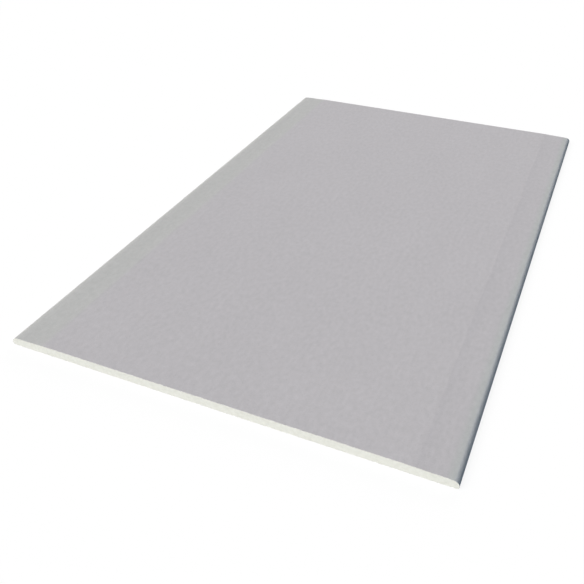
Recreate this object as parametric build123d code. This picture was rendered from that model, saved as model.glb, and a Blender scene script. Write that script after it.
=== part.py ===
from build123d import *
import os

# Paper-faced gypsum board with tapered, half-round long edges and square cut ends.
#
# The board lies flat, face up. X runs across its width, Y along its length and Z up
# through its thickness. The origin is the middle of the back, on the resting plane.
# Each piece has one section, drawn in the XZ plane, that runs the whole length of the
# board. All sizes are in millimetres.

# Overall size
board_length = 1000.0
board_width = 600.0
board_thickness = 12.5

# Long edges: the face sinks into a shallow hollow, the taper, bends down over a gentle
# brow, turns over the half-round nose and meets the back in a smaller round, the heel
taper_width = 50.0
taper_depth = 0.8
brow_width = 19.0
brow_radius = 120.0
nose_radius = 7.0
heel_radius = 2.5

# Paper liners: the face paper folds round both edges onto the back, and the back
# paper covers the folds up to a margin along each edge
face_paper_thickness = 0.4
back_paper_thickness = 0.4
fold_width = 25.0
back_paper_margin = 12.0

# Places and levels that follow from the sizes above
half_width = board_width / 2
shoulder = half_width - taper_width
brow_start = half_width - brow_width
fold_end = half_width - fold_width
fold_level = back_paper_thickness
hollow_level = board_thickness - taper_depth
edge_level = hollow_level - brow_radius + (brow_radius**2 - brow_width**2) ** 0.5
edge_height = edge_level - fold_level

# Nose and heel share the upright of the edge, so on a thin board it limits them
heel_round = min(heel_radius, edge_height / 2)
nose_round = min(nose_radius, edge_height - heel_round)


def along_board(section):
    """A section in the XZ plane, run half the board's length each way."""
    return extrude(Plane.XZ * section, amount=board_length / 2, both=True)


def half_outline():
    """The right half of the wrapped section's outline, with its nose and heel still square."""
    hollow_end = (brow_start, hollow_level)
    edge_top = (half_width, edge_level)
    edge_foot = (half_width, fold_level)
    return Curve() + [
        Line((0, board_thickness), (shoulder, board_thickness)),
        TangentArc(hollow_end, (shoulder, board_thickness), tangent=(-1, 0)),
        TangentArc(hollow_end, edge_top, tangent=(1, 0)),
        Line(edge_top, edge_foot),
        Line(edge_foot, (0, fold_level)),
    ]


def wrapped_section():
    """All that the face paper wraps, with the paper itself: everything above the back paper."""
    right_half = half_outline()
    section = make_face(right_half.edges() + mirror(right_half, about=Plane.YZ).edges())
    for side in (Axis.X, -Axis.X):
        nose_corner = section.vertices().group_by(side)[-1].sort_by(Axis.Y)[-1]
        section = fillet(nose_corner, nose_round)
        heel_corner = section.vertices().group_by(Axis.Y)[0].sort_by(side)[-1]
        section = fillet(heel_corner, heel_round)
    return section


def core_section():
    """The wrapped section less the paper, which reaches the back paper between the two folds."""
    inside_paper = offset(wrapped_section(), -face_paper_thickness, kind=Kind.INTERSECTION)
    between_folds = Pos(0, fold_level) * Rectangle(
        2 * fold_end,
        edge_height / 2,
        align=(Align.CENTER, Align.MIN),
    )
    return inside_paper + between_folds


def gypsum_core():
    """Aerated gypsum, bare at the two cut ends."""
    return along_board(core_section())


def face_paper():
    """Liner over the face, tapers and noses, turned onto the back as far as the folds reach."""
    return along_board(wrapped_section() - core_section())


def back_paper():
    """Flat liner over the back, lapped over both folds and stopping short of the long edges."""
    liner = Rectangle(
        board_width - 2 * back_paper_margin,
        back_paper_thickness,
        align=(Align.CENTER, Align.MIN),
    )
    return along_board(liner)


pieces = {
    "gypsum_core": gypsum_core(),
    "face_paper": face_paper(),
    "back_paper": back_paper(),
}

os.makedirs("parts", exist_ok=True)
for node, piece in pieces.items():
    piece.label = node
    export_step(piece, f"parts/{node}.step")
    print(node, "volume", round(piece.volume), "mm3, solids", len(piece.solids()))
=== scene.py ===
# %% [markdown]
# # A drywall sheet
#
# A drywall sheet is a slab of gypsum plaster between two paper liners. The grey face paper is wider
# than the board: it wraps round both long edges and is folded onto the back, where the back paper
# laps over it. Only the two cut ends show the pale plaster.
#
# This lesson loads the measured model as a fixed frame, lays a finer surface over each of its three
# pieces, gives them paper and plaster finishes, and sets the board on a white studio floor under
# lamps and a camera.

# %% Load the measured model
import math

import bpy
import numpy as np
from mathutils import Matrix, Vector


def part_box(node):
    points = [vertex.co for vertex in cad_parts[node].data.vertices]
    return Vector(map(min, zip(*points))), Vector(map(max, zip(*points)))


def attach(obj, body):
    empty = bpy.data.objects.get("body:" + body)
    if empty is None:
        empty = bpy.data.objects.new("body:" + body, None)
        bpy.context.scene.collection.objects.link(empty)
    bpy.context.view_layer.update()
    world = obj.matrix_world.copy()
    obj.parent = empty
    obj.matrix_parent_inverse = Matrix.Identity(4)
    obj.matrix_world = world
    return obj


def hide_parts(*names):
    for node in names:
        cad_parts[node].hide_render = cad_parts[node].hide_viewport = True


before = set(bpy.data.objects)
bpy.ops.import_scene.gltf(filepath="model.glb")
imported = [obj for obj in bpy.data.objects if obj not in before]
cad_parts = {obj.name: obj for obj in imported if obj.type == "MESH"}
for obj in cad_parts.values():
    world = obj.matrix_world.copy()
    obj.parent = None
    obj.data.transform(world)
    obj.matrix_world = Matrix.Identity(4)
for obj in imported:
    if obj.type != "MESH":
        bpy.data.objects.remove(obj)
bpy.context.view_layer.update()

print("nodes:", sorted(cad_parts))

# %% [markdown]
# ## The sizes of the board
#
# The boxes of the three nodes give the width, length, thickness and paper thickness, so these are
# read, not typed. A box can't tell how the long edges are shaped, so those sizes are named here, in
# metres. Towards each long edge the face sinks into a shallow hollow, the taper. A gentle brow then
# bends it down to the half-round nose, which meets the back in a smaller round, the heel.

# %% Read the sizes
core_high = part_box("gypsum_core")[1]
face_low, face_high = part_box("face_paper")
back_low, back_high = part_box("back_paper")

half_width = face_high[0]
half_length = face_high[1]
face_level = face_high[2]
fold_level = face_low[2]
face_paper_thickness = face_high[2] - core_high[2]
back_paper_thickness = back_high[2] - back_low[2]
back_paper_half_width = back_high[0]

taper_width = 0.050
taper_depth = 0.0008
brow_width = 0.019
brow_radius = 0.120
nose_radius = 0.0070
heel_radius = 0.0025
fold_width = 0.025

shoulder = half_width - taper_width
brow_start = half_width - brow_width
fold_end = half_width - fold_width
print(f"board {2 * half_width:.3f} x {2 * half_length:.3f} x {face_level:.4f} m")
print(f"face paper {face_paper_thickness * 1000:.2f} mm")
print(f"back paper {back_paper_thickness * 1000:.2f} mm")

# %% [markdown]
# ## Where the arcs have their centres
#
# Each curve of the edge is an arc that runs smoothly into the next, and that fixes its centre. The
# hollow is level where it meets the brow, so both centres lie straight above and below that point.
# The nose touches the brow from inside, so its centre lies on a line from the brow's centre, one
# nose radius short of the brow. An arc's angle is how far it turns away from level.

# %% Centres and angles of the arcs
hollow_width = brow_start - shoulder
hollow_level = face_level - taper_depth
hollow_radius = (hollow_width**2 + taper_depth**2) / (2 * taper_depth)
hollow_centre = (brow_start, hollow_level + hollow_radius)
hollow_angle = math.asin(hollow_width / hollow_radius)

brow_centre = (brow_start, hollow_level - brow_radius)
brow_to_nose = brow_radius - nose_radius
brow_angle = math.asin((brow_width - nose_radius) / brow_to_nose)
nose_centre = (half_width - nose_radius, brow_centre[1] + brow_to_nose * math.cos(brow_angle))
heel_centre = (half_width - heel_radius, fold_level + heel_radius)
print(f"hollow turns {math.degrees(hollow_angle):.2f} degrees, brow {math.degrees(brow_angle):.2f}")

# %% [markdown]
# ## Chance, with a fixed seed
#
# A knife never leaves a perfect line in paper or plaster. Lattice noise gives that unevenness:
# random heights stand on evenly spaced posts, and the heights between them are blended smoothly. A
# seed makes the same board on every run.

# %% Lattice noise
def smooth_step(share):
    """Three times the share squared less twice its cube: leaves 0 and reaches 1 with no slope."""
    return share * share * (3 - 2 * share)


def lattice_noise(x, z, spacing, seed):
    """Random heights from 0 to 1 on a square lattice, blended between the four posts round a point.

    The blend is linear in the smooth step of the place within the square, along x and then z."""
    column = (x - x.min()) / spacing
    row = (z - z.min()) / spacing
    posts = np.random.default_rng(seed).random((int(column.max()) + 2, int(row.max()) + 2))
    i = column.astype(int)
    j = row.astype(int)
    across = smooth_step(column - i)
    up = smooth_step(row - j)
    low = posts[i, j] * (1 - across) + posts[i + 1, j] * across
    high = posts[i, j + 1] * (1 - across) + posts[i + 1, j + 1] * across
    return low * (1 - up) + high * up


sample = lattice_noise(np.linspace(0, 1, 4), np.zeros(4), spacing=0.3, seed=1)
print("noise sample:", sample.round(3))

# %% [markdown]
# ## From arrays to a mesh
#
# Every piece below is worked out as whole arrays of points on a grid. This helper hands such arrays
# to Blender in one go with `foreach_set`, which is fast and keeps the shape's formula separate from
# the bookkeeping. Faces are four-cornered, and edges sharper than a set angle stay crisp.

# %% Mesh helpers
crisp_angle = math.radians(35)


def grid_quads(numbers):
    """The squares of a grid of point numbers: each point, its two neighbours and the one across."""
    corners = [numbers[:-1, :-1], numbers[1:, :-1], numbers[1:, 1:], numbers[:-1, 1:]]
    return np.stack(corners, axis=-1).reshape(-1, 4)


def mesh_piece(name, points, quads, flat_map=None, finish_numbers=None):
    """An object at the origin from an array of points and an array of four-cornered faces.

    A paper piece also brings its flat map, and the number of the finish that each face takes."""
    mesh = bpy.data.meshes.new(name)
    mesh.vertices.add(len(points))
    mesh.vertices.foreach_set("co", points.ravel())
    mesh.loops.add(quads.size)
    mesh.loops.foreach_set("vertex_index", quads.ravel())
    mesh.polygons.add(len(quads))
    mesh.polygons.foreach_set("loop_start", np.arange(0, quads.size, 4))
    mesh.polygons.foreach_set("use_smooth", np.ones(len(quads), dtype=bool))
    if flat_map is not None:
        layer = mesh.uv_layers.new(name="paper")
        layer.uv.foreach_set("vector", flat_map[quads.ravel()].ravel())
        mesh.polygons.foreach_set("material_index", finish_numbers)
    mesh.update(calc_edges=True)
    mesh.validate()
    mesh.set_sharp_from_angle(angle=crisp_angle)
    piece = bpy.data.objects.new(name, mesh)
    bpy.context.collection.objects.link(piece)
    return piece


def enclosed_volume(points, quads):
    """Sum of the signed pyramids from the origin to the two triangles of each face.

    A pyramid is a sixth of the box product of its corners. Faces that look outwards sum above 0."""
    a, b, c, d = (points[quads[:, k]] for k in range(4))
    return np.sum(a * (np.cross(b, c) + np.cross(c, d))) / 6


print("squares in a grid of 3 by 4 points:", len(grid_quads(np.arange(12).reshape(3, 4))))

# %% [markdown]
# ## The section of the face paper
#
# Looked at from a cut end, the face paper is one line: along the face, down the hollow, over the
# brow, round the nose, down the upright, round the heel and back along the fold. Each stretch is a
# straight or an arc, so it needs only the handful of sizes above. Every point carries the direction
# that it faces, as an angle from straight up. The inside of the paper is then each point moved
# inwards along that direction, which keeps the paper equally thick round the curves.

# %% Section of the face paper
point_spacing = 0.0012
arc_steps = 22


def straight(start, end, facing):
    """Points from start towards end in equal steps, all facing one way. The end is left out."""
    count = max(1, round(math.dist(start, end) / point_spacing))
    share = np.arange(count)[:, None] / count
    points = np.asarray(start) * (1 - share) + np.asarray(end) * share
    return points, np.full(count, facing)


def arc(centre, radius, first, last):
    """Points whose facing turns evenly: centre plus radius times (sin, cos) of the facing.

    A radius below 0 puts the points on the far side of the centre, which makes a hollow."""
    facing = np.linspace(first, last, arc_steps, endpoint=False)
    return centre + radius * np.stack([np.sin(facing), np.cos(facing)], axis=1), facing


def half_section():
    """The right half of the face paper's outside, from mid-face to the end of the fold."""
    up, down, out = 0.0, math.pi, math.pi / 2
    stretches = [
        straight((0, face_level), (shoulder, face_level), up),
        arc(hollow_centre, -hollow_radius, hollow_angle, up),
        arc(brow_centre, brow_radius, up, brow_angle),
        arc(nose_centre, nose_radius, brow_angle, out),
        straight((half_width, nose_centre[1]), (half_width, heel_centre[1]), out),
        arc(heel_centre, heel_radius, out, down),
        straight((heel_centre[0], fold_level), (fold_end, fold_level), down),
        (np.array([[fold_end, fold_level]]), np.array([down])),
    ]
    points = np.concatenate([points for points, facing in stretches])
    facing = np.concatenate([facing for points, facing in stretches])
    return points, facing


def whole_section():
    """The right half and its mirror image, joined at the middle of the face, from fold to fold."""
    points, facing = half_section()
    mirrored = points[:0:-1] * (-1, 1)
    return np.concatenate([mirrored, points]), np.concatenate([-facing[:0:-1], facing])


face_line, face_facing = whole_section()
face_arc_length = np.linalg.norm(np.diff(face_line, axis=0), axis=1).sum()
print(f"face paper: {len(face_line)} points, {face_arc_length * 1000:.1f} mm wide when laid flat")

# %% [markdown]
# ## A sheet of paper along the board
#
# Both liners are a section carried along the length of the board. They could be planes with a
# Solidify modifier, but then the fold ends and cut ends would be hard to control. Here the outside
# line and the inside line make one closed loop, the loop is repeated along the length, and strips
# between the two lines close the cut ends. The flat map gives each point its place on the unrolled
# sheet, so that fibres can follow the paper round the edge.

# %% Paper sheets
rows_along = 41
fray_depth = 0.00025
fray_spacing = 0.0024
sheet_finish = 0
cut_finish = 1


def paper_sheet(name, line, facing, thickness, seed):
    """A closed sheet: (x, z) from the section, y in equal steps between two frayed cut ends.

    The inside line is the outside line moved by the thickness against its facing. Each cut end is
    drawn back by lattice noise, never past the true length."""
    inside = line - thickness * np.stack([np.sin(facing), np.cos(facing)], axis=1)
    loop = np.concatenate([line, inside[::-1]])
    steps = np.linalg.norm(np.diff(line, axis=0), axis=1)
    across = np.concatenate([[0.0], np.cumsum(steps)]) - steps.sum() / 2
    loop_across = np.concatenate([across, across[::-1]])

    near_fray = fray_depth * lattice_noise(loop_across, np.zeros(len(loop)), fray_spacing, seed)
    far_fray = fray_depth * lattice_noise(loop_across, np.zeros(len(loop)), fray_spacing, seed + 1)
    share = np.linspace(0, 1, rows_along)
    y = (near_fray - half_length)[:, None] * (1 - share) + (half_length - far_fray)[:, None] * share
    x = np.repeat(loop[:, :1], rows_along, axis=1)
    z = np.repeat(loop[:, 1:], rows_along, axis=1)
    points = np.stack([x, y, z], axis=-1).reshape(-1, 3)

    numbers = np.arange(len(points)).reshape(len(loop), rows_along)
    around = np.concatenate([numbers, numbers[:1]])
    outside_numbers = numbers[:len(line)]
    inside_numbers = numbers[:len(line) - 1:-1]
    near_end = grid_quads(np.stack([inside_numbers[:, 0], outside_numbers[:, 0]], axis=1))
    far_end = grid_quads(np.stack([outside_numbers[:, -1], inside_numbers[:, -1]], axis=1))
    quads = np.concatenate([grid_quads(around), near_end, far_end])
    map_across = np.repeat(loop_across[:, None], rows_along, axis=1)
    flat_map = np.stack([map_across, y], axis=-1).reshape(-1, 2)
    cut_faces = len(near_end) + len(far_end)
    finish_numbers = np.repeat([sheet_finish, cut_finish], [len(quads) - cut_faces, cut_faces])
    print(f"{name}: {len(quads)} faces, {enclosed_volume(points, quads) * 1e6:.1f} cm3")
    return mesh_piece(name, points, quads, flat_map, finish_numbers)


face_paper = paper_sheet("face_paper_sheet", face_line, face_facing, face_paper_thickness, seed=11)

# %% [markdown]
# ## Where the plate pressed, and painted shade
#
# The taper is pressed into the wet board by a smooth plate. At the shoulder, where the slope begins,
# the paper is painted a faint shade darker, which fades away down the slope. Where the plate pressed
# hardest the violet of the paper is gone: the whole left taper and the right brow are a plain grey,
# on the right a little cooler as painted shade. Round the right nose, which turns away from the key
# lamp, a cooler grey still is painted shade. These could be painted on an image, but an image would
# need its own resolution. Here each point of the sheet carries a tint for the finish to read: how
# much of the plain paper's red, green and blue light it still sends back.

# %% Painted shoulder shade, press tints and painted cool shade
# Painted shade at the shoulder: how dark it is, and how fast it fades down the slope.
shoulder_painted_shade_strength = 0.011
shoulder_painted_shade_fade = 0.014
press_fade = 0.012
# Press tints: the left one plain grey, the right one a little cooler as painted shade.
left_press = (0.979, 1.012, 0.967)
right_press_and_painted_cool = (0.971, 1.025, 0.978)
# Painted cool shade round the right nose: its fade and its bluish tint.
painted_cool_shade_fade = 0.006
right_painted_cool_shade = (0.981, 1.040, 1.037)


# Painted shade: the paper is darker where the taper begins, fading down the slope.
def shoulder_painted_shade_share(points):
    """1 at the shoulder, fading as an exponential of the way past it, on the face side only."""
    past = np.abs(points[:, 0]) - shoulder
    on_taper = (past > 0) & (points[:, 2] > nose_centre[1])
    return np.where(on_taper, np.exp(-np.maximum(past, 0) / shoulder_painted_shade_fade), 0.0)


def plate_press(points):
    """The smooth step of the way past the start of the mark, over the width of its fade.

    On the left it starts half a fade before the shoulder, and on the right at the brow."""
    start = np.where(points[:, 0] < 0, shoulder - press_fade / 2, brow_start)
    return smooth_step(np.clip((np.abs(points[:, 0]) - start) / press_fade, 0, 1))


# Painted cool shade: the share of the bluish tint round the right nose, which lies in shade.
def nose_painted_cool_shade(points):
    """The smooth step of the way past half a fade before the right nose, over the fade's width."""
    nose_start = nose_centre[0] + nose_radius * math.sin(brow_angle)
    past = points[:, 0] - (nose_start - painted_cool_shade_fade / 2)
    return smooth_step(np.clip(past / painted_cool_shade_fade, 0, 1))


def wear_and_painted_shade_tint(points):
    """1 less the painted shoulder shade, times 1 plus the press times (its tint less 1).

    The tint is the side's own, and on the right it changes to the painted cool shade round the nose."""
    painted_cool_shade = nose_painted_cool_shade(points)[:, None]
    press = plate_press(points)[:, None]
    shoulder_painted_shade = shoulder_painted_shade_share(points)[:, None]
    right_tint = (1 - painted_cool_shade) * right_press_and_painted_cool + painted_cool_shade * right_painted_cool_shade
    press_and_painted_shade_tint = np.where(points[:, :1] < 0, left_press, right_tint)
    return (1 - shoulder_painted_shade_strength * shoulder_painted_shade) * (1 + press * (press_and_painted_shade_tint - 1))


# Each point's tint, of press marks and painted shade, is kept on the sheet.
face_points = np.empty((len(face_paper.data.vertices), 3), dtype=np.float32)
face_paper.data.vertices.foreach_get("co", face_points.ravel())
tint = wear_and_painted_shade_tint(face_points)
wear_and_painted_shade = face_paper.data.attributes.new("wear_and_painted_shade", "FLOAT_COLOR", "POINT")
wear_and_painted_shade.data.foreach_set("color", np.insert(tint, 3, 1.0, axis=1).astype(np.float32).ravel())
print("tint from", tint.min(axis=0).round(3), "to", tint.max(axis=0).round(3))

# %% [markdown]
# ## The back paper
#
# The back paper is the same kind of sheet on a straight section, facing down. It stops short of
# both long edges, so a strip of the folded face paper shows beside it.

# %% Back paper
back_line, back_facing = straight((back_paper_half_width, 0), (-back_paper_half_width, 0), math.pi)
back_line = np.concatenate([back_line, [[-back_paper_half_width, 0]]])
back_facing = np.append(back_facing, math.pi)
back_paper = paper_sheet("back_paper_sheet", back_line, back_facing, back_paper_thickness, seed=21)

# %% [markdown]
# ## The plaster core
#
# The core fills the paper, and shows only at the two cut ends. Its section is described by two
# curves over the width: how high its top and its bottom lie at each x. An end is then a grid across
# the width and up through the thickness. Plaster is foamed before it sets, so the cut goes through
# fine bubbles. They are real hollows in the mesh here, because a bump would vanish at the outline.

# %% Outline of the core
core_spacing = 0.0004
fold_step = 0.000004


def circle_height(reach, centre, radius):
    """How far a circle rises over its centre: the root of radius squared less sideways squared."""
    sideways = np.clip(reach - centre[0], -radius, radius)
    return np.sqrt(radius**2 - sideways**2)


def core_top(x):
    """Height of the core's top: face, hollow, brow and nose, each moved inwards by the paper."""
    reach = np.abs(x)
    inner_hollow = hollow_radius + face_paper_thickness
    inner_brow = brow_radius - face_paper_thickness
    inner_nose = nose_radius - face_paper_thickness
    hollow = hollow_centre[1] - circle_height(reach, hollow_centre, inner_hollow)
    brow = brow_centre[1] + circle_height(reach, brow_centre, inner_brow)
    nose = nose_centre[1] + circle_height(reach, nose_centre, inner_nose)
    nose_start = nose_centre[0] + inner_nose * math.sin(brow_angle)
    top = np.minimum(face_level - face_paper_thickness, hollow)
    top = np.where(reach > brow_start, brow, top)
    return np.where(reach > nose_start, nose, top)


def core_bottom(x):
    """Height of the core's bottom: on the back paper, then on the folds, then up round the heel."""
    reach = np.abs(x)
    inner_heel = heel_radius - face_paper_thickness
    round_reach = np.maximum(reach, heel_centre[0])
    heel = heel_centre[1] - circle_height(round_reach, heel_centre, inner_heel)
    return np.where(reach < fold_end, fold_level, heel)


def core_columns():
    """Places across the width: even steps as far as the nose, then even turns round it.

    A close pair stands at each fold's end, where the bottom steps up by the paper's thickness."""
    radius = nose_radius - face_paper_thickness
    even = np.arange(0, nose_centre[0], core_spacing)
    step_pair = fold_end + np.array([-fold_step, fold_step])
    turns = nose_centre[0] + radius * np.sin(np.linspace(0, math.pi / 2, arc_steps))
    right = np.sort(np.concatenate([even, step_pair, turns]))
    return np.concatenate([-right[:0:-1], right])


columns = core_columns()
print(f"core: {len(columns)} columns, {core_top(columns).max() * 1000:.2f} mm high at the middle")

# %% [markdown]
# ## Bubbles and grain
#
# Bubbles are cell noise: the end is divided into square cells, each cell may hold one bubble at a
# random place and of a random size, and every point looks at the bubbles of its own cell and the
# eight round it. A bubble is a dimple with a soft rim, wide enough for the grid to draw it round,
# and where two meet the deeper one wins. The plaster that lies against the paper is dense, so
# bubbles fade out towards the rim. Two layers of lattice noise add the grain of the cut plaster.
# Pores finer than the grid are left to the finish.

# %% Relief of a cut end
core_rows = 30
bubble_cell = 0.0030
bubble_share = 0.16
bubble_radii = (0.0005, 0.0011)
bubble_hollow = 0.40
dense_rim = 0.0014
grain_depths = ((0.0040, 0.00008), (0.0011, 0.00005))


def bubble_depth(x, z, seed):
    """Deepest dimple at a point, of those in nine cells.

    A dimple's depth is a share of its radius, times the square of 1 less (distance over radius)
    squared."""
    column = ((x - x.min()) / bubble_cell).astype(int) + 1
    row = ((z - z.min()) / bubble_cell).astype(int) + 1
    cells = (column.max() + 2, row.max() + 2)
    chance = np.random.default_rng(seed)
    centre_x = x.min() + (np.arange(cells[0])[:, None] - 1 + chance.random(cells)) * bubble_cell
    centre_z = z.min() + (np.arange(cells[1])[None, :] - 1 + chance.random(cells)) * bubble_cell
    radius = bubble_radii[0] + (bubble_radii[1] - bubble_radii[0]) * chance.random(cells) ** 2
    held = chance.random(cells) < bubble_share
    depth = np.zeros(x.shape)
    for i in (-1, 0, 1):
        for j in (-1, 0, 1):
            cell = (column + i, row + j)
            apart = np.hypot(x - centre_x[cell], z - centre_z[cell])
            inside = np.maximum(0.0, 1 - (apart / radius[cell]) ** 2)
            depth = np.maximum(depth, bubble_hollow * held[cell] * radius[cell] * inside**2)
    return depth


def cut_relief(x, z, seed):
    """How far the plaster lies behind the plane of the cut: grain plus bubbles, 0 where proudest.

    Bubbles are multiplied by the smooth step of the way from the rim over the dense plaster."""
    grain = sum(
        depth * lattice_noise(x, z, spacing, seed + layer)
        for layer, (spacing, depth) in enumerate(grain_depths)
    )
    to_rim = np.minimum(z - core_bottom(x), core_top(x) - z)
    foamed = smooth_step(np.clip(to_rim / dense_rim, 0, 1))
    relief = grain + foamed * bubble_depth(x, z, seed + len(grain_depths))
    return relief - relief.min()


def gypsum_core(name):
    """A closed slab: at each end a grid of x and of shares of the way up, joined round the rim."""
    share = np.linspace(0, 1, core_rows)
    x = np.repeat(columns[:, None], core_rows, axis=1)
    z = core_bottom(columns)[:, None] * (1 - share) + core_top(columns)[:, None] * share
    near = np.stack([x, cut_relief(x, z, seed=31) - half_length, z], axis=-1)
    far = np.stack([x, half_length - cut_relief(x, z, seed=41), z], axis=-1)
    points = np.concatenate([near.reshape(-1, 3), far.reshape(-1, 3)])

    near_numbers = np.arange(x.size).reshape(x.shape)
    far_numbers = near_numbers + x.size
    rim = np.concatenate([
        near_numbers[:-1, 0],
        near_numbers[-1, :-1],
        near_numbers[:0:-1, -1],
        near_numbers[0, ::-1],
    ])
    sides = grid_quads(np.stack([rim + x.size, rim], axis=1))
    quads = np.concatenate([grid_quads(near_numbers), grid_quads(far_numbers)[:, ::-1], sides])
    print(f"{name}: {len(quads)} faces, {enclosed_volume(points, quads) * 1e6:.1f} cm3")
    return mesh_piece(name, points, quads)


core = gypsum_core("gypsum_core_block")

# %% [markdown]
# ## Nodes made short
#
# A finish is a small net of nodes. These helpers add a node, set its values and link its inputs in
# one call, so that each finish below reads from top to bottom like a recipe. Whatever goes into a
# node may be a plain value or the output of another node.

# %% Node helpers
def new_finish(name):
    """A material with only its output and a Principled shader, ready for a recipe."""
    finish = bpy.data.materials.new(name)
    finish.use_nodes = True
    return finish, finish.node_tree, finish.node_tree.nodes["Principled BSDF"]


def feed(tree, socket, value):
    """Feeds an input: another node's output is linked to it, and a plain value is set on it."""
    if isinstance(value, bpy.types.NodeSocket):
        tree.links.new(value, socket)
    else:
        socket.default_value = value


def add_node(tree, kind, settings=(), **inputs):
    """A node of that kind, with settings as attributes, and inputs by label to feed."""
    node = tree.nodes.new(kind)
    for attribute, value in dict(settings).items():
        setattr(node, attribute, value)
    for label, value in inputs.items():
        feed(tree, node.inputs[label.replace("_", " ")], value)
    return node


def mix_colour(tree, amount, first, second, blend="MIX"):
    """Second colour over first by an amount from 0 to 1."""
    node = add_node(tree, "ShaderNodeMix", {"data_type": "RGBA", "blend_type": blend})
    for number, value in ((0, amount), (6, first), (7, second)):
        feed(tree, node.inputs[number], value)
    return node.outputs[2]


def join_numbers(tree, operation, first, second):
    """Two numbers joined by one of the operations of a Math node."""
    node = add_node(tree, "ShaderNodeMath", {"operation": operation})
    feed(tree, node.inputs[0], first)
    feed(tree, node.inputs[1], second)
    return node.outputs[0]


def screen_colour(red, green, blue):
    """A colour measured on a screen, 0 to 255, as the linear light that a shader takes."""
    share = np.array([red, green, blue]) / 255
    return (*(((share + 0.055) / 1.055) ** 2.4).tolist(), 1.0)


print("face grey as light:", [round(value, 3) for value in screen_colour(185, 183, 186)])

# %% [markdown]
# ## Paper
#
# Liner paper is pressed from recycled fibre. Its fibres lie mostly along the machine's run, which
# is the length of the board, so each noise is stretched a little along the sheet. Four of them,
# from single fibres to broad drifts of tone, are multiplied into one lightness, and a few stray
# fibres are darker. All of it reads the flat map, so it runs over the noses without a seam. The
# finest noise is also a very low bump. A painted picture of paper would repeat or blur close up,
# and this doesn't.

# %% Paper finish
paper_grain = {
    "fibre": ({"width": 0.0006, "length": 0.0018, "detail": 4.0}, 2.2),
    "streak": ({"width": 0.0040, "length": 0.0200, "detail": 2.0}, 0.5),
    "cloud": ({"width": 0.0060, "length": 0.0095, "detail": 2.0}, 1.1),
    "drift": ({"width": 0.0700, "length": 0.1700, "detail": 2.0}, 0.3),
}
stray_fibre = {"width": 0.0007, "length": 0.0038, "detail": 1.0}
stray_noise = (0.70, 0.76)
stray_cover = 0.4
usual_noise = (0.3, 0.7)
paper_roughness = (0.82, 0.94)
paper_gloss = 0.03
bump_strength = 0.3
bump_depth = 0.0003


def sheet_noise(tree, flat_map, width, length, detail):
    """Noise on the flat map, in patches of that width across the sheet and length along it."""
    place = add_node(tree, "ShaderNodeMapping", Vector=flat_map, Scale=(1 / width, 1 / length, 1.0))
    noise = add_node(tree, "ShaderNodeTexNoise", Vector=place.outputs[0], Scale=1.0, Detail=detail)
    return noise.outputs[0]


def spread(tree, value, first, last, low, high):
    """A number that goes from low to high while the value goes from first to last, no further."""
    node = add_node(
        tree,
        "ShaderNodeMapRange",
        Value=value,
        From_Min=first,
        From_Max=last,
        To_Min=low,
        To_Max=high,
    )
    return node.outputs[0]


def tone(tree, noise, low, high):
    """Noise from its usual range, spread evenly from low to high."""
    return spread(tree, noise, *usual_noise, low, high)


def shaded(tree, colour, lightness):
    """A colour times a lightness, where 1 leaves it as it is."""
    grey = add_node(tree, "ShaderNodeCombineColor", Red=lightness, Green=lightness, Blue=lightness)
    return mix_colour(tree, 1.0, colour, grey.outputs[0], "MULTIPLY")


def set_surface(tree, shader, colour, roughness, height, gloss):
    """Hands the shader a colour, a roughness and a gloss, and a height as a very low bump."""
    bump = add_node(
        tree,
        "ShaderNodeBump",
        Height=height,
        Strength=bump_strength,
        Distance=bump_depth,
    )
    feed(tree, shader.inputs["Base Color"], colour)
    feed(tree, shader.inputs["Roughness"], roughness)
    feed(tree, shader.inputs["Normal"], bump.outputs[0])
    feed(tree, shader.inputs["Specular IOR Level"], gloss)


def paper_finish(name, colour, stray_colour, contrast, marked_and_painted_shade):
    """The layers of grain, each by its weight, multiplied into one lightness over a colour.

    Stray fibres are mixed into the colour, and a marked sheet is multiplied by its points' tint of
    press marks and painted shade."""
    finish, tree, shader = new_finish(name)
    flat_map = add_node(tree, "ShaderNodeUVMap", {"uv_map": "paper"}).outputs[0]
    lightness = 1.0
    noises = {}
    for layer, (patch, weight) in paper_grain.items():
        noises[layer] = sheet_noise(tree, flat_map, **patch)
        swing = contrast * weight
        layer_tone = tone(tree, noises[layer], 1 - swing, 1 + swing)
        lightness = join_numbers(tree, "MULTIPLY", lightness, layer_tone)

    stray_place = sheet_noise(tree, flat_map, **stray_fibre)
    stray_share = spread(tree, stray_place, *stray_noise, 0.0, stray_cover)
    sheet_colour = mix_colour(tree, stray_share, colour, stray_colour)
    # The tint holds press marks and painted shade.
    if marked_and_painted_shade:
        wear_and_painted_shade_mark = add_node(tree, "ShaderNodeAttribute", {"attribute_name": "wear_and_painted_shade"})
        sheet_colour = mix_colour(tree, 1.0, sheet_colour, wear_and_painted_shade_mark.outputs["Color"], "MULTIPLY")
    set_surface(
        tree,
        shader,
        colour=shaded(tree, sheet_colour, lightness),
        roughness=tone(tree, noises["cloud"], *paper_roughness),
        height=noises["fibre"],
        gloss=paper_gloss,
    )
    return finish


face_finish = paper_finish(
    "grey_liner",
    colour=screen_colour(183.4, 181, 184),
    stray_colour=screen_colour(120, 112, 108),
    contrast=0.034,
    marked_and_painted_shade=True,
)
back_finish = paper_finish(
    "plain_liner",
    colour=screen_colour(172, 165, 154),
    stray_colour=screen_colour(112, 100, 90),
    contrast=0.04,
    marked_and_painted_shade=False,
)
face_paper.data.materials.append(face_finish)
back_paper.data.materials.append(back_finish)
print("paper finishes:", face_finish.name, back_finish.name)

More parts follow.
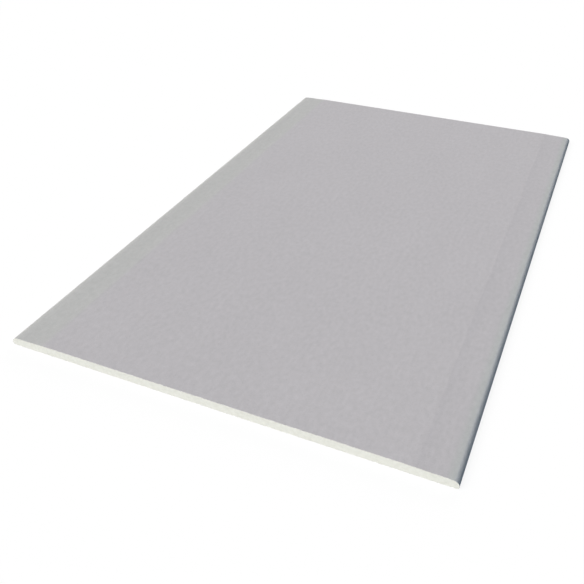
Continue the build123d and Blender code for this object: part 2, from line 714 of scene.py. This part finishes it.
# %% [markdown]
# ## Plaster
#
# Set gypsum is a warm white, chalky and without gloss. Its tone changes a little over a few
# millimetres, where the foam was finer or coarser, and fine crystals break up the light. Both come
# from noise on the object's own coordinates, because the cut goes straight through the block. The
# finest pores are Voronoi cells: a point near the middle of its cell lies in a pore, and each
# cell's random colour sets how wide its pore is. The pores are painted darker, as painted shade in
# the hollows, and lie lower in the bump. The knife also drags plaster dust over the cut edges of the
# paper, so they take the same recipe in a greyer shade, without pores.

# %% Plaster finish
foam_noise = {"Scale": 180.0, "Detail": 2.0}
foam_share = (0.3, 1.0)
crystal_noise = {"Scale": 1400.0, "Detail": 3.0}
crystal_share = (0.4, 1.0)
pore_scale = 950.0
pore_chance = (0.3, 1.0)
pore_widths = (0.06, 0.42)
pore_middle = 0.05
plaster_roughness = (0.88, 0.98)
plaster_gloss = 0.1


def plaster_finish(name, colour, shade_colour, pore_shade, pore_depth):
    """The foam's noise times the crystals' mixes a light and a darker plaster, with painted shade in
    its pores.

    The crystals' noise, lowered in the pores, is also the height of the bump."""
    finish, tree, shader = new_finish(name)
    place = add_node(tree, "ShaderNodeTexCoord").outputs["Object"]
    foam = add_node(tree, "ShaderNodeTexNoise", Vector=place, **foam_noise).outputs[0]
    crystals = add_node(tree, "ShaderNodeTexNoise", Vector=place, **crystal_noise).outputs[0]
    cells = add_node(tree, "ShaderNodeTexVoronoi", Vector=place, Scale=pore_scale)
    chance = add_node(tree, "ShaderNodeSeparateColor", Color=cells.outputs["Color"]).outputs[0]
    pore_width = spread(tree, chance, *pore_chance, *pore_widths)
    beside_pore = spread(tree, cells.outputs["Distance"], pore_middle, pore_width, 0.0, 1.0)

    foam_tone = tone(tree, foam, *foam_share)
    crystal_tone = tone(tree, crystals, *crystal_share)
    shade_share = join_numbers(tree, "MULTIPLY", foam_tone, crystal_tone)
    cut_colour = mix_colour(tree, shade_share, colour, shade_colour)
    # Painted shade: the colour is darker in the pores.
    lightness = spread(tree, beside_pore, 0.0, 1.0, 1 - pore_shade, 1.0)
    kept_height = spread(tree, beside_pore, 0.0, 1.0, 1 - pore_depth, 1.0)
    set_surface(
        tree,
        shader,
        colour=shaded(tree, cut_colour, lightness),
        roughness=tone(tree, crystals, *plaster_roughness),
        height=join_numbers(tree, "MULTIPLY", crystals, kept_height),
        gloss=plaster_gloss,
    )
    return finish


plaster = plaster_finish(
    "plaster",
    colour=screen_colour(236, 237, 231),
    shade_colour=screen_colour(219, 220, 211),
    pore_shade=0.16,
    pore_depth=0.7,
)
dusted_cut = plaster_finish(
    "dusted_paper_cut",
    colour=screen_colour(234, 235, 229),
    shade_colour=screen_colour(217, 217, 211),
    pore_shade=0.0,
    pore_depth=0.0,
)
core.data.materials.append(plaster)
for sheet in (face_paper, back_paper):
    sheet.data.materials.append(dusted_cut)
print("plaster finishes:", plaster.name, dusted_cut.name)

# %% [markdown]
# ## Which piece stands for which
#
# Each new surface replaces one node of the measured model, which stays behind it for the physics.
# The board has no moving parts, so everything rides on its one body.

# %% Tie the pieces to the frame
for piece, node, slot in (
    (core, "gypsum_core", "gypsum"),
    (face_paper, "face_paper", "face_paper"),
    (back_paper, "back_paper", "back_paper"),
):
    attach(piece, "root")
    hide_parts(node)
    print(piece.name, "stands for", node)

# %% [markdown]
# ## Floor
#
# The board lies on a white studio floor. A floor that is simply painted white would throw so much
# light back that the nose could hardly turn dark. So the camera, and mirrors, see it as plain white,
# mostly by a glow of its own that keeps the shadow light, while the light that it throws back is
# that of a grey floor.

# %% Floor
floor_half_size = 6.0
floor_gap = 0.0001
floor_reflectance = 0.45
floor_glow = 0.9
white = (1.0, 1.0, 1.0, 1.0)


def seen_directly(tree):
    """1 for what the camera, a reflection or a clear object sees, 0 for light that spreads."""
    ray = add_node(tree, "ShaderNodeLightPath").outputs
    mirrored = join_numbers(tree, "MAXIMUM", ray["Is Glossy Ray"], ray["Is Transmission Ray"])
    return join_numbers(tree, "MAXIMUM", ray["Is Camera Ray"], mirrored)


def floor_white(name):
    """White where it is seen directly, else grey.

    Most of the white is the floor's own glow, so that the board's shadow stays light."""
    finish, tree, shader = new_finish(name)
    seen = seen_directly(tree)
    grey = (floor_reflectance, floor_reflectance, floor_reflectance, 1.0)
    feed(tree, shader.inputs["Base Color"], mix_colour(tree, seen, grey, white))
    feed(tree, shader.inputs["Roughness"], 1.0)
    feed(tree, shader.inputs["Specular IOR Level"], 0.0)
    glow = add_node(tree, "ShaderNodeEmission", Color=white, Strength=1.0)
    blend = add_node(tree, "ShaderNodeMixShader")
    feed(tree, blend.inputs[0], join_numbers(tree, "MULTIPLY", seen, floor_glow))
    feed(tree, blend.inputs[1], shader.outputs[0])
    feed(tree, blend.inputs[2], glow.outputs[0])
    feed(tree, tree.nodes["Material Output"].inputs["Surface"], blend.outputs[0])
    return finish


corner = np.array([-floor_half_size, floor_half_size])
floor_x, floor_y = np.meshgrid(corner, corner, indexing="ij")
floor_points = np.stack([floor_x, floor_y, np.full((2, 2), -floor_gap)], axis=-1).reshape(-1, 3)
floor = mesh_piece("studio_floor", floor_points, grid_quads(np.arange(4).reshape(2, 2)))
floor.data.materials.append(floor_white("floor_white"))
print("floor:", 2 * floor_half_size, "m square")

# %% [markdown]
# ## Light
#
# A broad key lamp stands to the front left, so the face and the near end are lit and the right-hand
# nose turns away into shade. A faint cool lamp, low on the right, gives that shade its blue. Another
# lamp, low behind, keeps the far end from going dark, and even light from all round fills what is
# left, though the surroundings are seen as plain white. Lamps close by would light the long board
# unevenly. These are far off and give every place the same: together they light a level surface at
# strength 1, so that a colour comes out as it is written.

# %% Light
level_light = 1.0
fill_light = np.array([0.114, 0.122, 0.130])
back_light = np.array([0.140, 0.136, 0.134])
cool_light = np.array([0.000, 0.008, 0.016])
key_light = level_light - fill_light - back_light - cool_light
lamp_spread = math.radians(40)


def far_lamp(name, light, left, front, up):
    """A lamp far off to the left, front and above, that gives level ground that much light.

    Level ground gets the strength times the sine of the lamp's height, so the light is divided
    by that."""
    reach = math.hypot(left, front, up)
    data = bpy.data.lights.new(name, "SUN")
    data.color = light / light.max()
    data.energy = math.pi * light.max() * reach / up
    data.angle = lamp_spread
    lamp = bpy.data.objects.new(name, data)
    turn = Matrix.Rotation(math.atan2(-left, front), 4, "Z")
    tilt = Matrix.Rotation(math.atan2(math.hypot(left, front), up), 4, "X")
    lamp.matrix_world = turn @ tilt
    bpy.context.collection.objects.link(lamp)
    height = math.degrees(math.asin(up / reach))
    print(f"{name}: strength {data.energy:.2f}, {height:.0f} degrees high")


far_lamp("key_lamp", key_light, left=0.8, front=1.0, up=1.0)
far_lamp("back_lamp", back_light, left=0.2, front=-1.0, up=0.2)
far_lamp("cool_lamp", cool_light, left=-1.0, front=0.0, up=0.15)

world = bpy.data.worlds.new("studio")
bpy.context.scene.world = world
world.use_nodes = True
sky = world.node_tree
sky_colour = mix_colour(sky, seen_directly(sky), (*fill_light, 1.0), white)
feed(sky, sky.nodes["Background"].inputs["Color"], sky_colour)
print("fill light:", fill_light)

# %% [markdown]
# ## Camera
#
# The camera looks down on the board from its near right corner. Place, turn and lens are those at
# which the board's four edges fall where the photograph has them. The photograph is framed a
# little to one side of where its camera looked, and a small shift of the lens repeats that.
# Without it, the camera would have to be rolled, and the far edge would still lie at a wrong angle.

# %% Camera
image_pixels = 584
sensor_width = 36.0
focal_pixels = 728.5
camera_place = (0.3410, -1.0466, 0.6135)
camera_azimuth = math.radians(24.26)
camera_elevation = math.radians(34.78)
sideways_shift = 0.0162

camera_data = bpy.data.cameras.new("camera")
camera_data.sensor_width = sensor_width
camera_data.lens = focal_pixels * sensor_width / image_pixels
camera_data.shift_x = sideways_shift
camera = bpy.data.objects.new("camera", camera_data)
camera.matrix_world = (
    Matrix.Translation(camera_place)
    @ Matrix.Rotation(camera_azimuth, 4, "Z")
    @ Matrix.Rotation(math.pi / 2 - camera_elevation, 4, "X")
)
bpy.context.collection.objects.link(camera)
bpy.context.scene.camera = camera
bpy.context.scene.view_settings.view_transform = "Standard"
print(f"lens {camera_data.lens:.2f} mm")
